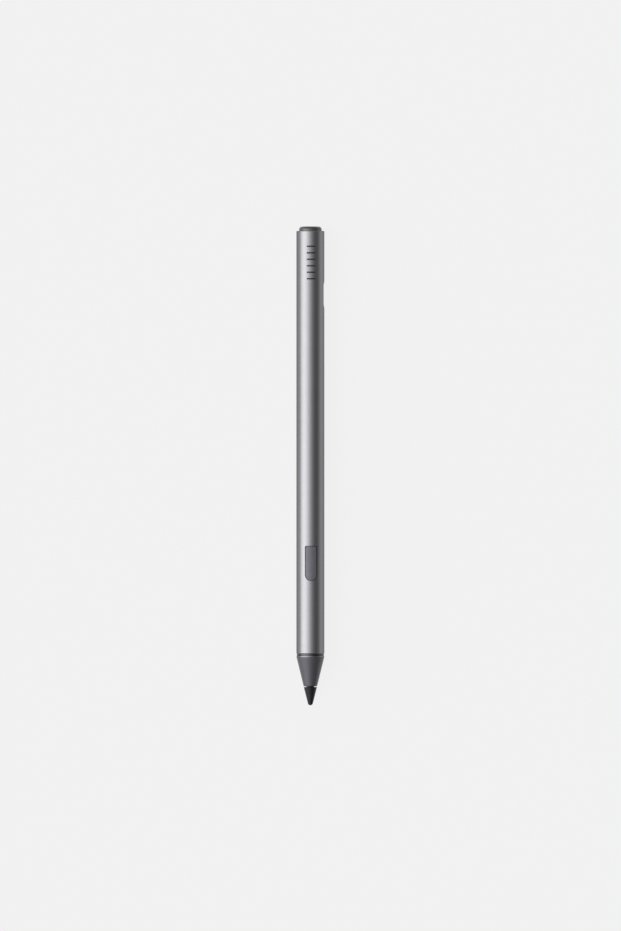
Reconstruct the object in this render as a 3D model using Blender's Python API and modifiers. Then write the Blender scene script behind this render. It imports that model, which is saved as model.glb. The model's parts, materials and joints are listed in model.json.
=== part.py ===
"""A rechargeable active stylus for a tablet or e-reader, as an assembly of separate pieces.

The pen lies along X on the surface z = 0, with its nib towards -X, its side button up (+Z) and its charging
port towards -Y. The origin is under the middle of its length. Lengths along the pen are stations: distances
from the nib's tip.
"""

import math

import bmesh
import bpy
from mathutils import Matrix, Vector

MM = 0.001

# Overall size.
LENGTH = 162.6 * MM
BARREL_RADIUS = 4.75 * MM
BARREL_WALL = 0.7 * MM
BARREL_BORE = BARREL_RADIUS - BARREL_WALL
BARREL_FRONT = 17.55 * MM
BARREL_REAR = 161.1 * MM
BARREL_EDGE = 0.22 * MM

# Clearances.
CONTACT_GAP = 0.05 * MM  # between two pieces that rest on each other
SLIP_GAP = 0.15 * MM  # around what slides into the barrel

# Nose, nib and their rings.
NIB_TIP_RADIUS = 0.87 * MM
NIB_HALF_ANGLE = math.radians(14.1)
NIB_BASE = 6.19 * MM
NIB_EDGE = 0.06 * MM
NIB_NECK_RADIUS = 1.3 * MM
NIB_NECK_REAR = 7.1 * MM
NIB_TRAVEL = 0.2 * MM
NIB_RING_FRONT = 6.45 * MM
NIB_RING_REAR = 6.62 * MM
NIB_RING_RADIUS = 2.33 * MM
NOSE_FRONT = 6.66 * MM
NOSE_FRONT_RADIUS = 2.35 * MM
NOSE_HALF_ANGLE = math.radians(13.7)
NOSE_WALL = 0.75 * MM
NOSE_MOUTH_RADIUS = 1.45 * MM
NOSE_MOUTH_REAR = 7.6 * MM
NOSE_THROAT = 1.0 * MM
NOSE_CAVITY = 8.8 * MM
NOSE_SHOULDER = 16.36 * MM
NOSE_SHOULDER_RADIUS = 4.66 * MM
NOSE_SHOULDER_ROUND = 1.0 * MM
NOSE_CHAMFER = 0.08 * MM
SPIGOT_RADIUS = 3.98 * MM
SPIGOT_BORE = 3.0 * MM
SPIGOT_REAR = 19.4 * MM
SEAL_STATION = 18.35 * MM
SEAL_WIRE = 0.24 * MM
SEAL_GROOVE = 3.48 * MM
TRIM_FRONT = 16.41 * MM
TRIM_REAR = 16.77 * MM
TRIM_RADIUS = 4.7 * MM
RING_FRONT = 16.82 * MM
RING_REAR = 17.5 * MM
RING_RADIUS = 4.66 * MM
RING_EDGE = 0.07 * MM

# The nib's carrier and the force sensor behind it.
CORE_RADIUS = 0.6 * MM
CORE_FRONT = 1.8 * MM
CORE_REAR = 14.4 * MM
HOLDER_FRONT = 9.6 * MM
HOLDER_RADIUS = 1.25 * MM
HOLDER_BORE = 0.66 * MM
HOLDER_FLANGE = 15.3 * MM
FLANGE_THICKNESS = 0.5 * MM
FLANGE_RADIUS = 2.0 * MM
HOLDER_PIN = 0.75 * MM
HOLDER_REAR = 21.1 * MM
BUSH_FRONT = 9.4 * MM
BUSH_REAR = 15.1 * MM
ELECTRODE_WALL = 0.15 * MM
SPRING_RADIUS = 1.5 * MM
SPRING_WIRE = 0.14 * MM
SPRING_TURNS = 4.5
SENSOR_FRONT = 20.2 * MM
SENSOR_REAR = 24.0 * MM
SENSOR_RADIUS = 3.3 * MM

# Chassis.
CHASSIS_FRONT = 20.0 * MM
CHASSIS_REAR = 155.4 * MM
CHASSIS_RADIUS = BARREL_BORE - SLIP_GAP
CHASSIS_BORE = 3.45 * MM
BOARD_RAIL = -1.2 * MM
BATTERY_RAIL = 0.3 * MM
PORT_RAIL = -2.1 * MM
BULKHEAD_TOP = 0.5 * MM

# Main board: stations along it are the middles of what it carries.
BOARD_FRONT = 25.4 * MM
BOARD_REAR = 71.2 * MM
BOARD_WIDTH = 6.4 * MM
BOARD_THICKNESS = 0.8 * MM
BOARD_TOP = -0.1 * MM
SCREW_SHANK = 0.5 * MM
SCREW_HEAD = 1.0 * MM
SCREW_HEAD_HEIGHT = 0.45 * MM
BOARD_SCREWS = {"board_screw_front": 27.6 * MM, "board_screw_rear": 64.6 * MM}

# Side button and its switch.
KEY_STATION = 48.25 * MM
KEY_LENGTH = 11.42 * MM
KEY_WIDTH = 3.64 * MM
KEY_GAP = 0.16 * MM
KEY_CORNER = 0.5 * MM
KEY_PROUD = 0.1 * MM
KEY_FLANGE = 0.45 * MM
KEY_FLANGE_BOTTOM = 2.75 * MM
SWITCH_HEIGHT = 0.9 * MM
SWITCH_WELL = 0.65 * MM
PLUNGER_RADIUS = 0.8 * MM
PLUNGER_OUT = 0.4 * MM
PLUNGER_IN = 0.28 * MM

# Battery.
CELL_RADIUS = 3.1 * MM
CELL_FRONT = 75.3 * MM
CELL_REAR = 119.0 * MM
SLEEVE_WALL = 0.16 * MM

# Magnets.
MAGNET_SIZE = Vector((11.0, 3.0, 1.3)) * MM
MAGNET_BOTTOM = -3.7 * MM
MAGNET_STATIONS = {"magnet_front": 56.5 * MM, "magnet_rear": 128.2 * MM}

# Charging port, a USB-C receptacle facing -Y.
PORT_STATION = 139.4 * MM
PORT_CUT = Vector((9.2, 3.45)) * MM
PORT_SHELL = Vector((8.94, 3.26)) * MM
PORT_SHELL_WALL = 0.3 * MM
PORT_MOUTH = -3.62 * MM
PORT_BACK = 2.6 * MM
PORT_BOARD = 2.85 * MM
PORT_BOARD_THICKNESS = 0.5 * MM
TONGUE_WIDTH = 6.69 * MM
TONGUE_THICKNESS = 0.7 * MM
TONGUE_FRONT = -2.95 * MM
TONGUE_ROOT = 0.9 * MM
CONTACT_COUNT = 12
CONTACT_PITCH = 0.5 * MM
CONTACT_WIDTH = 0.26 * MM
CONTACT_THICKNESS = 0.1 * MM

# End button, its switch and the board behind it.
END_BUTTON_RADIUS = 3.87 * MM
END_BUTTON_ROUND = 1.0 * MM
END_BUTTON_FRONT = 158.2 * MM
END_GROOVE_FRONT = 158.95 * MM
END_GROOVE_REAR = 159.95 * MM
END_GROOVE_RADIUS = 3.5 * MM
CLIP_FRONT = 159.05 * MM
CLIP_REAR = 159.45 * MM
CLIP_INNER = 3.6 * MM
CLIP_OUTER = 4.2 * MM
CLIP_SEAT = 4.3 * MM
END_BOARD_FRONT = 155.6 * MM
END_BOARD_THICKNESS = 0.6 * MM
END_BOARD_RADIUS = 3.6 * MM
END_SCREW_HEIGHT = -2.4 * MM

# How finely round pieces are faceted. The pen rests on a facet of the barrel.
ROUND_SIDES = 32
SMALL_SIDES = 20
AXIS_HEIGHT = BARREL_RADIUS * math.cos(math.pi / ROUND_SIDES)

# Finish: base colour (linear), roughness, metallic.
FINISHES = {
    "anodised_grey": ((0.27, 0.27, 0.28), 0.32, 1.0),
    "nose_grey": ((0.075, 0.075, 0.082), 0.38, 0.0),
    "polished_metal": ((0.12, 0.12, 0.125), 0.12, 1.0),
    "nib_black": ((0.016, 0.016, 0.018), 0.5, 0.0),
    "key_grey": ((0.085, 0.084, 0.094), 0.42, 0.0),
    "end_grey": ((0.13, 0.13, 0.135), 0.28, 1.0),
    "steel": ((0.56, 0.56, 0.57), 0.3, 1.0),
    "brass": ((0.72, 0.52, 0.22), 0.3, 1.0),
    "gold_contact": ((0.83, 0.6, 0.2), 0.25, 1.0),
    "copper": ((0.75, 0.36, 0.2), 0.35, 1.0),
    "black_plastic": ((0.02, 0.02, 0.022), 0.55, 0.0),
    "natural_plastic": ((0.55, 0.55, 0.52), 0.55, 0.0),
    "chip_black": ((0.015, 0.015, 0.016), 0.6, 0.0),
    "board_green": ((0.01, 0.13, 0.06), 0.4, 0.0),
    "flex_amber": ((0.55, 0.24, 0.03), 0.35, 0.0),
    "battery_can": ((0.66, 0.66, 0.67), 0.3, 1.0),
    "battery_blue": ((0.02, 0.1, 0.35), 0.35, 0.0),
    "foam_grey": ((0.08, 0.08, 0.085), 0.95, 0.0),
    "rubber_black": ((0.012, 0.012, 0.012), 0.8, 0.0),
    "wire_red": ((0.5, 0.015, 0.01), 0.45, 0.0),
    "wire_black": ((0.012, 0.012, 0.012), 0.45, 0.0),
    "nickel": ((0.62, 0.6, 0.56), 0.25, 1.0),
    "ceramic_white": ((0.75, 0.75, 0.72), 0.5, 0.0),
}

ALONG_Z = (0.0, 0.0, 0.0)
ALONG_Y = (math.pi / 2, 0.0, 0.0)  # a plate's outline stands in XZ
ALONG_X = (math.pi / 2, 0.0, math.pi / 2)  # a plate's outline stands in YZ


def clear_scene():
    for old in list(bpy.data.objects):
        bpy.data.objects.remove(old)


def new_collection(name):
    collection = bpy.data.collections.new(name)
    bpy.context.scene.collection.children.link(collection)
    return collection


clear_scene()
PIECES = new_collection("stylus")
CUTTERS = new_collection("cutters")
AXIS = bpy.data.objects.new("pen_axis", None)
AXIS.location = (-LENGTH / 2, 0.0, AXIS_HEIGHT)
PIECES.objects.link(AXIS)


def finish_material(name):
    """The Principled material of one finish, made once."""
    found = bpy.data.materials.get(name)
    if found:
        return found
    colour, roughness, metallic = FINISHES[name]
    made = bpy.data.materials.new(name)
    made.use_nodes = True
    shader = made.node_tree.nodes["Principled BSDF"]
    shader.inputs["Base Color"].default_value = (*colour, 1.0)
    shader.inputs["Roughness"].default_value = roughness
    shader.inputs["Metallic"].default_value = metallic
    return made


def place(name, data, finish, location=(0, 0, 0), rotation=ALONG_Z):
    """Adds an object on the pen's axis. One with no finish is a cutter, kept out of the model."""
    piece = bpy.data.objects.new(name, data)
    piece.location = location
    piece.rotation_euler = rotation
    piece.parent = AXIS
    if finish is None:
        CUTTERS.objects.link(piece)
        piece.hide_render = True
        piece.display_type = "WIRE"
    else:
        PIECES.objects.link(piece)
        data.materials.append(finish_material(finish))
    return piece


def evaluated_mesh(piece):
    """The mesh that an object's modifiers or curve settings give."""
    bpy.context.view_layer.update()
    graph = bpy.context.evaluated_depsgraph_get()
    return bpy.data.meshes.new_from_object(piece.evaluated_get(graph))


def settle(piece):
    """Applies a piece's modifiers and shades it smooth between its sharp edges."""
    shape = evaluated_mesh(piece)
    piece.modifiers.clear()
    piece.data = shape
    shape.shade_smooth()
    shape.set_sharp_from_angle(angle=math.radians(30))
    return piece


def carve(piece, other, operation="DIFFERENCE"):
    """Cuts other from piece, joins it on, or keeps only what they share."""
    change = piece.modifiers.new(operation.title(), "BOOLEAN")
    change.operation = operation
    change.solver = "EXACT"
    change.object = other


def turned(name, profile, finish, sides=ROUND_SIDES):
    """A piece turned about the pen's axis, from (station, radius) points.

    The profile runs along the outer side from front to rear and back along the bore. One that starts and
    ends on the axis is solid. A facet faces straight down, so that the barrel rests on a flat."""
    start = math.pi / sides
    points = [(r * math.cos(start), r * math.sin(start), s) for s, r in reversed(profile)]
    edges = [(i, i + 1) for i in range(len(points) - 1)]
    if profile[0][1] > 0:
        edges.append((len(points) - 1, 0))
    shape = bpy.data.meshes.new(name)
    shape.from_pydata(points, edges, [])
    piece = place(name, shape, finish, rotation=(0.0, math.pi / 2, 0.0))
    screw = piece.modifiers.new("Turn", "SCREW")
    screw.axis = "Z"
    screw.steps = sides
    screw.render_steps = sides
    screw.use_merge_vertices = True
    screw.merge_threshold = 1e-6
    return piece


def tube(name, front, rear, outer, bore, finish, sides=ROUND_SIDES):
    return turned(name, [(front, outer), (rear, outer), (rear, bore), (front, bore)], finish, sides)


def disc(name, front, rear, radius, finish, sides=ROUND_SIDES):
    return turned(name, [(front, 0.0), (front, radius), (rear, radius), (rear, 0.0)], finish, sides)


def block(name, low, high, finish, edge=0.0):
    """A box between two corners, with its edges bevelled by edge."""
    low, high = Vector(low), Vector(high)
    shape = bmesh.new()
    bmesh.ops.create_cube(shape, size=1.0)
    bmesh.ops.scale(shape, vec=high - low, verts=shape.verts)
    mesh = bpy.data.meshes.new(name)
    shape.to_mesh(mesh)
    shape.free()
    piece = place(name, mesh, finish, location=(low + high) / 2)
    if edge:
        bevel = piece.modifiers.new("Edges", "BEVEL")
        bevel.width = edge
        bevel.segments = 1
    return piece


def rod(name, radius, start, end, finish, sides=SMALL_SIDES):
    """A round bar between two points."""
    start, end = Vector(start), Vector(end)
    shape = bmesh.new()
    bmesh.ops.create_cone(
        shape,
        cap_ends=True,
        segments=sides,
        radius1=radius,
        radius2=radius,
        depth=(end - start).length,
    )
    mesh = bpy.data.meshes.new(name)
    shape.to_mesh(mesh)
    shape.free()
    turn = (end - start).to_track_quat("Z", "Y").to_euler()
    return place(name, mesh, finish, location=(start + end) / 2, rotation=turn)


def plate(name, outlines, thickness, finish, location, rotation=ALONG_Z):
    """A flat piece from closed outlines, of which the later ones are holes, centred on location."""
    curve = bpy.data.curves.new(name, "CURVE")
    curve.dimensions = "2D"
    curve.fill_mode = "BOTH"
    curve.extrude = thickness / 2
    for outline in outlines:
        spline = curve.splines.new("POLY")
        spline.points.add(len(outline) - 1)
        spline.use_cyclic_u = True
        for point, (x, y) in zip(spline.points, outline):
            point.co = (x, y, 0.0, 1.0)
    guide = bpy.data.objects.new(name + "_outline", curve)
    CUTTERS.objects.link(guide)
    mesh = evaluated_mesh(guide)
    bpy.data.objects.remove(guide)
    shape = bmesh.new()
    shape.from_mesh(mesh)
    bmesh.ops.remove_doubles(shape, verts=shape.verts, dist=1e-6)
    bmesh.ops.recalc_face_normals(shape, faces=shape.faces)
    shape.to_mesh(mesh)
    shape.free()
    return place(name, mesh, finish, location=location, rotation=rotation)


def wire(name, points, radius, finish):
    """A round wire through points, on the pen's axis."""
    curve = bpy.data.curves.new(name, "CURVE")
    curve.dimensions = "3D"
    curve.bevel_depth = radius
    curve.bevel_resolution = 2
    curve.use_fill_caps = True
    spline = curve.splines.new("POLY")
    spline.points.add(len(points) - 1)
    for point, at in zip(spline.points, points):
        point.co = (*at, 1.0)
    return place(name, curve, finish)


def arc(centre, radius, start, end, steps):
    """Points on an arc, from one angle to another in degrees, both ends included."""
    turns = [math.radians(start + (end - start) * i / steps) for i in range(steps + 1)]
    return [(centre[0] + radius * math.cos(t), centre[1] + radius * math.sin(t)) for t in turns]


def stadium(length, width, steps=8):
    """A slot's outline, long in x, centred on the origin."""
    radius = width / 2
    reach = length / 2 - radius
    return arc((reach, 0.0), radius, -90, 90, steps) + arc((-reach, 0.0), radius, 90, 270, steps)


def key_outline(length, width, corner, steps=8):
    """The side button's outline: a half circle at the front, square at the rear with small corners."""
    radius = width / 2
    rear, side = length / 2 - corner, radius - corner
    outline = arc((rear, -side), corner, -90, 0, 3)
    outline += arc((rear, side), corner, 0, 90, 3)
    outline += arc((radius - length / 2, 0.0), radius, 90, 270, 2 * steps)
    return outline


def strip_outline(path, thickness):
    """The outline of a thin strip that follows a path, half its thickness to each side."""
    path = [Vector(p) for p in path]
    sides = []
    for i, point in enumerate(path):
        along = (path[min(i + 1, len(path) - 1)] - path[max(i - 1, 0)]).normalized()
        sides.append((point, Vector((-along.y, along.x)) * thickness / 2))
    return [p + n for p, n in sides] + [p - n for p, n in reversed(sides)]


def rounded_path(corners, steps=5):
    """A polyline with each inner corner turned into a smooth curve between its legs' middles."""
    corners = [Vector(c) for c in corners]
    path = [corners[0]]
    for before, corner, after in zip(corners, corners[1:], corners[2:]):
        start, end = (before + corner) / 2, (corner + after) / 2
        for i in range(steps + 1):
            t = i / steps
            path.append((1 - t) ** 2 * start + 2 * t * (1 - t) * corner + t * t * end)
    path.append(corners[-1])
    return [p for i, p in enumerate(path) if i == 0 or (p - path[i - 1]).length > 1e-6]


# ---------------------------------------------------------------- barrel and rings


def key_cutter():
    """The slot for the side button, cut down through the barrel's upper wall."""
    outline = key_outline(KEY_LENGTH + 2 * KEY_GAP, KEY_WIDTH + 2 * KEY_GAP, KEY_CORNER)
    return plate("key_slot", [outline], 4 * MM, None, (KEY_STATION, 0.0, 4.5 * MM))


def port_cutter():
    """The slot for the charging plug, cut through the barrel's -Y wall."""
    return plate("port_slot", [stadium(*PORT_CUT)], 4 * MM, None, (PORT_STATION, -4.5 * MM, 0.0), ALONG_Y)


def make_barrel():
    front, rear, edge = BARREL_FRONT, BARREL_REAR, BARREL_EDGE
    profile = arc((front + edge, BARREL_RADIUS - edge), edge, 180, 90, 2)
    profile += arc((rear - edge, BARREL_RADIUS - edge), edge, 90, 0, 2)
    profile += [
        (rear, BARREL_BORE + edge),
        (rear - edge, BARREL_BORE),
        (CLIP_REAR + CONTACT_GAP, BARREL_BORE),
        (CLIP_REAR + CONTACT_GAP, CLIP_SEAT),
        (CLIP_FRONT - CONTACT_GAP, CLIP_SEAT),
        (CLIP_FRONT - CONTACT_GAP, BARREL_BORE),
        (front, BARREL_BORE),
    ]
    barrel = turned("barrel", profile, "anodised_grey")
    carve(barrel, key_cutter())
    carve(barrel, port_cutter())
    return settle(barrel)


def edged_ring(name, front, rear, radius, finish):
    """A flat ring on the nose's spigot with small chamfers."""
    bore = SPIGOT_RADIUS + CONTACT_GAP
    profile = [
        (front, radius - RING_EDGE),
        (front + RING_EDGE, radius),
        (rear - RING_EDGE, radius),
        (rear, radius - RING_EDGE),
        (rear, bore),
        (front, bore),
    ]
    return settle(turned(name, profile, finish))


def make_front_rings():
    """The satin trim ring behind the nose, and the polished band between it and the barrel."""
    edged_ring("trim_ring", TRIM_FRONT, TRIM_REAR, TRIM_RADIUS, "anodised_grey")
    edged_ring("front_ring", RING_FRONT, RING_REAR, RING_RADIUS, "polished_metal")


def make_nib_ring():
    """The small polished washer in the nose's mouth."""
    profile = [
        (NIB_RING_FRONT, NIB_RING_RADIUS - RING_EDGE),
        (NIB_RING_FRONT + RING_EDGE, NIB_RING_RADIUS),
        (NIB_RING_REAR, NIB_RING_RADIUS + 0.01 * MM),
        (NIB_RING_REAR, NOSE_MOUTH_RADIUS),
        (NIB_RING_FRONT, NOSE_MOUTH_RADIUS),
    ]
    return settle(turned("nib_ring", profile, "polished_metal"))


# ---------------------------------------------------------------- nose


def nose_radius(station):
    """The outer radius of the nose's straight cone."""
    return NOSE_FRONT_RADIUS + (station - NOSE_FRONT) * math.tan(NOSE_HALF_ANGLE)


def nose_bore(station):
    """The inner radius of the nose's cavity, parallel to its outside."""
    return nose_radius(station) - NOSE_WALL


def shoulder_profile(steps=4):
    """The nose's outside from the cone to its shoulder: a large arc that touches both."""
    tangent = NOSE_SHOULDER_ROUND * math.tan(NOSE_HALF_ANGLE / 2)
    corner = NOSE_FRONT + (NOSE_SHOULDER_RADIUS - NOSE_FRONT_RADIUS) / math.tan(NOSE_HALF_ANGLE)
    centre = (corner + tangent, NOSE_SHOULDER_RADIUS - NOSE_SHOULDER_ROUND)
    return arc(centre, NOSE_SHOULDER_ROUND, 90 + math.degrees(NOSE_HALF_ANGLE), 90, steps)


def make_nose():
    half_groove = SEAL_WIRE + 0.12 * MM
    profile = [(NOSE_FRONT, NOSE_FRONT_RADIUS)]
    profile += shoulder_profile()
    profile += [
        (NOSE_SHOULDER - NOSE_CHAMFER, NOSE_SHOULDER_RADIUS),
        (NOSE_SHOULDER, NOSE_SHOULDER_RADIUS - NOSE_CHAMFER),
        (NOSE_SHOULDER, SPIGOT_RADIUS),
        (SEAL_STATION - half_groove, SPIGOT_RADIUS),
        (SEAL_STATION - half_groove, SEAL_GROOVE),
        (SEAL_STATION + half_groove, SEAL_GROOVE),
        (SEAL_STATION + half_groove, SPIGOT_RADIUS),
        (SPIGOT_REAR, SPIGOT_RADIUS),
        (SPIGOT_REAR, SPIGOT_BORE),
        (BUSH_REAR + 1.2 * MM, SPIGOT_BORE),
        (BUSH_REAR + CONTACT_GAP, nose_bore(BUSH_REAR)),
        (NOSE_CAVITY, nose_bore(NOSE_CAVITY)),
        (NOSE_CAVITY, NOSE_THROAT),
        (NOSE_MOUTH_REAR, NOSE_THROAT),
        (NOSE_MOUTH_REAR, NOSE_MOUTH_RADIUS),
        (NOSE_FRONT, NOSE_MOUTH_RADIUS),
    ]
    return settle(turned("nose_cone", profile, "nose_grey"))


def cone_sleeve(name, outer, bore, finish):
    """A conical ring in the nose, between two radii that are functions of the station."""
    front, rear = BUSH_FRONT, BUSH_REAR
    profile = [(front, outer(front)), (rear, outer(rear)), (rear, bore(rear)), (front, bore(front))]
    return settle(turned(name, profile, finish))


def make_nose_sleeves():
    """The tilt electrode against the nose's wall, and the bush in it that guides the nib holder."""
    electrode_outer = CONTACT_GAP
    electrode_bore = electrode_outer + ELECTRODE_WALL
    bush_outer = electrode_bore + CONTACT_GAP
    cone_sleeve(
        "tilt_electrode",
        lambda s: nose_bore(s) - electrode_outer,
        lambda s: nose_bore(s) - electrode_bore,
        "copper",
    )
    cone_sleeve(
        "front_bush",
        lambda s: nose_bore(s) - bush_outer,
        lambda s: HOLDER_RADIUS + CONTACT_GAP,
        "natural_plastic",
    )


def make_front_seal():
    """The O-ring on the nose's spigot."""
    ring = (SEAL_GROOVE + BARREL_BORE) / 2
    profile = arc((SEAL_STATION, ring), SEAL_WIRE, 180, -180, 8)[:-1]
    return settle(turned("front_seal", profile, "rubber_black"))


# ---------------------------------------------------------------- nib and force sensor


def make_nib():
    """The replaceable nib: a black cone with a rounded tip and a neck, moulded on a metal core."""
    tip, slope = NIB_TIP_RADIUS, NIB_HALF_ANGLE
    bore = CORE_RADIUS + 0.03 * MM
    outside = arc((tip, 0.0), tip, 180, 90 + math.degrees(slope), 6)
    touch, touch_radius = outside[-1]
    base_radius = touch_radius + (NIB_BASE - touch) * math.tan(slope)
    profile = [(0.0, 0.0), *outside[1:]]
    profile += [
        (NIB_BASE - NIB_EDGE, base_radius - NIB_EDGE * math.tan(slope)),
        (NIB_BASE, base_radius - NIB_EDGE),
        (NIB_BASE, NIB_NECK_RADIUS),
        (NIB_NECK_REAR, NIB_NECK_RADIUS),
        (NIB_NECK_REAR, bore),
        (CORE_FRONT - CONTACT_GAP, bore),
        (CORE_FRONT - CONTACT_GAP, 0.0),
    ]
    settle(turned("nib", profile, "nib_black"))
    edge = 0.15 * MM
    core = [
        (CORE_FRONT, 0.0),
        (CORE_FRONT, CORE_RADIUS),
        (CORE_REAR - edge, CORE_RADIUS),
        (CORE_REAR, CORE_RADIUS - edge),
        (CORE_REAR, 0.0),
    ]
    settle(turned("nib_core", core, "steel", SMALL_SIDES))


def make_nib_holder():
    """The sliding carrier that grips the nib's core in front and presses the sensor behind."""
    flange_rear = HOLDER_FLANGE + FLANGE_THICKNESS
    profile = [
        (HOLDER_FRONT, HOLDER_RADIUS),
        (HOLDER_FLANGE, HOLDER_RADIUS),
        (HOLDER_FLANGE, FLANGE_RADIUS),
        (flange_rear, FLANGE_RADIUS),
        (flange_rear, HOLDER_PIN),
        (HOLDER_REAR, HOLDER_PIN),
        (HOLDER_REAR, 0.0),
    ]
    bore_end = CORE_REAR + 0.2 * MM
    profile = [
        (bore_end, 0.0),
        (bore_end, HOLDER_BORE),
        (HOLDER_FRONT, HOLDER_BORE),
        *profile,
    ]
    settle(turned("nib_holder", profile, "brass", SMALL_SIDES))


def make_return_spring():
    """The coil spring that pushes the nib holder forward."""
    front = HOLDER_FLANGE + FLANGE_THICKNESS + SPRING_WIRE + CONTACT_GAP
    rear = SENSOR_FRONT - SPRING_WIRE - CONTACT_GAP
    count = int(SPRING_TURNS * 12)
    points = []
    for i in range(count + 1):
        share = i / count
        turn = 2 * math.pi * SPRING_TURNS * share
        points.append(
            (
                front + (rear - front) * share,
                SPRING_RADIUS * math.cos(turn),
                SPRING_RADIUS * math.sin(turn),
            )
        )
    wire("return_spring", points, SPRING_WIRE, "steel")


def make_force_sensor():
    """The sensor's cup, the elastomer pad that the nib holder presses, and the sensing disc."""
    mouth = HOLDER_PIN + 0.15 * MM
    mouth_rear = SENSOR_FRONT + 0.7 * MM
    cavity = 2.3 * MM
    housing = [
        (SENSOR_FRONT, SENSOR_RADIUS),
        (SENSOR_REAR, SENSOR_RADIUS),
        (SENSOR_REAR, cavity),
        (mouth_rear, cavity),
        (mouth_rear, mouth),
        (SENSOR_FRONT, mouth),
    ]
    settle(turned("sensor_housing", housing, "black_plastic"))
    pad_front = HOLDER_REAR + NIB_TRAVEL + CONTACT_GAP
    pad_rear = pad_front + 0.5 * MM
    sensor_front = pad_rear + CONTACT_GAP
    settle(disc("sensor_pad", pad_front, pad_rear, 1.5 * MM, "rubber_black", SMALL_SIDES))
    sensor_rear = sensor_front + 1.6 * MM
    settle(disc("force_sensor", sensor_front, sensor_rear, 2.15 * MM, "ceramic_white", SMALL_SIDES))
    path = rounded_path(
        [
            (SENSOR_REAR - 0.35 * MM, 0.8 * MM),
            (SENSOR_REAR + 0.9 * MM, 0.8 * MM),
            (BOARD_FRONT + 0.1 * MM, BOARD_TOP + 0.12 * MM),
            (BOARD_FRONT + 0.9 * MM, BOARD_TOP + 0.12 * MM),
        ]
    )
    outline = strip_outline(path, 0.1 * MM)
    settle(plate("sensor_flex", [outline], 2.4 * MM, "flex_amber", (0.0, 0.0, 0.0), ALONG_Y))


# ---------------------------------------------------------------- chassis


def bay_cutters():
    """The open bays along the chassis: a round trough, open above a rail height."""
    bays = {
        "sensor_bay": (CHASSIS_FRONT - 1 * MM, SENSOR_REAR + 0.2 * MM, None),
        "board_bay": (BOARD_FRONT - 0.2 * MM, BOARD_REAR + 0.8 * MM, BOARD_RAIL),
        "battery_bay": (73.2 * MM, 121.0 * MM, BATTERY_RAIL),
        "port_bay": (122.2 * MM, 153.2 * MM, BATTERY_RAIL),
    }
    cutters = []
    wide = 2 * BARREL_RADIUS
    for name, (front, rear, rail) in bays.items():
        cutters.append(disc(name, front, rear, CHASSIS_BORE, None))
        if rail is not None:
            cutters.append(block(name + "_top", (front, -wide, rail), (rear, wide, wide), None))
    return cutters


def passage_cutters():
    """Windows for the cables, the port, its board and the magnets."""
    wide = 2 * BARREL_RADIUS
    port = PORT_STATION
    sensor_end = SENSOR_REAR + 0.2 * MM
    cutters = [
        block("wall_top", (sensor_end, -wide, BOARD_RAIL), (BOARD_FRONT, wide, wide), None),
        block("lead_pass", (71.5 * MM, -wide, BULKHEAD_TOP), (73.5 * MM, wide, wide), None),
        block("flex_pass", (120.5 * MM, -1.4 * MM, BULKHEAD_TOP), (156 * MM, 1.4 * MM, wide), None),
        block("port_pass", (port - 5 * MM, -wide, PORT_RAIL), (port + 5 * MM, -2.3 * MM, wide), None),
        block("port_board_pass", (port - 9 * MM, 2.6 * MM, PORT_RAIL), (port + 9 * MM, wide, wide), None),
    ]
    for name, station in MAGNET_STATIONS.items():
        half = MAGNET_SIZE / 2
        low = (station - half.x - SLIP_GAP, -half.y - SLIP_GAP, -wide)
        high = (station + half.x + SLIP_GAP, half.y + SLIP_GAP, -2.5 * MM)
        cutters.append(block(name + "_window", low, high, None))
    return cutters


def make_chassis():
    """The moulded carrier that holds everything in the barrel."""
    chassis = disc("chassis", CHASSIS_FRONT, CHASSIS_REAR, CHASSIS_RADIUS, "black_plastic")
    for cutter in bay_cutters() + passage_cutters():
        carve(chassis, cutter)
    boss_top = BOARD_TOP - BOARD_THICKNESS - CONTACT_GAP
    for name, station in BOARD_SCREWS.items():
        foot = (station, 0.0, -3.6 * MM)
        boss = rod(name + "_boss", 1.1 * MM, foot, (station, 0.0, boss_top), None, 12)
        carve(chassis, boss, "UNION")
        hole_bottom = (station, 0.0, boss_top - 2.3 * MM)
        hole = rod(name + "_hole", 0.6 * MM, hole_bottom, (station, 0.0, 1 * MM), None, 12)
        carve(chassis, hole)
    low = (CHASSIS_REAR - 2.0 * MM, 0.0, END_SCREW_HEIGHT)
    high = (CHASSIS_REAR + 1 * MM, 0.0, END_SCREW_HEIGHT)
    carve(chassis, rod("end_screw_hole", 0.6 * MM, low, high, None, 12))
    return settle(chassis)


# ---------------------------------------------------------------- main board


def board_block(name, station, size, finish, edge=0.05 * MM, side=0.0):
    """A part that sits on the main board, size long, wide and high, with its middle at a station."""
    half = Vector(size) / 2
    base = BOARD_TOP + CONTACT_GAP
    low = (station - half.x, side - half.y, base)
    high = (station + half.x, side + half.y, base + size[2])
    return settle(block(name, low, high, finish, edge))


def screw(name, seat, along, length):
    """A small pan-head screw from its head's seat along X or Z, with a cross recess."""
    seat, along = Vector(seat), Vector(along).normalized()
    head_top = seat - along * SCREW_HEAD_HEIGHT
    piece = rod(name, SCREW_HEAD, seat, head_top, "steel", 16)
    shank = rod(name + "_shank", SCREW_SHANK, seat - along * 0.1 * MM, seat + along * length, None, 12)
    carve(piece, shank, "UNION")
    across = Vector((0.0, 1.0, 0.0))
    for i, direction in enumerate((across, along.cross(across))):
        reach = direction * SCREW_HEAD * 0.6
        width = along.cross(direction).normalized() * 0.13 * MM
        corners = [head_top + a * reach + b * width + c * along * 0.2 * MM
                   for a in (-1, 1) for b in (-1, 1) for c in (-1, 1)]
        low = [min(c[k] for c in corners) for k in range(3)]
        high = [max(c[k] for c in corners) for k in range(3)]
        carve(piece, block(f"{name}_slot_{i}", low, high, None))
    return settle(piece)


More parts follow.
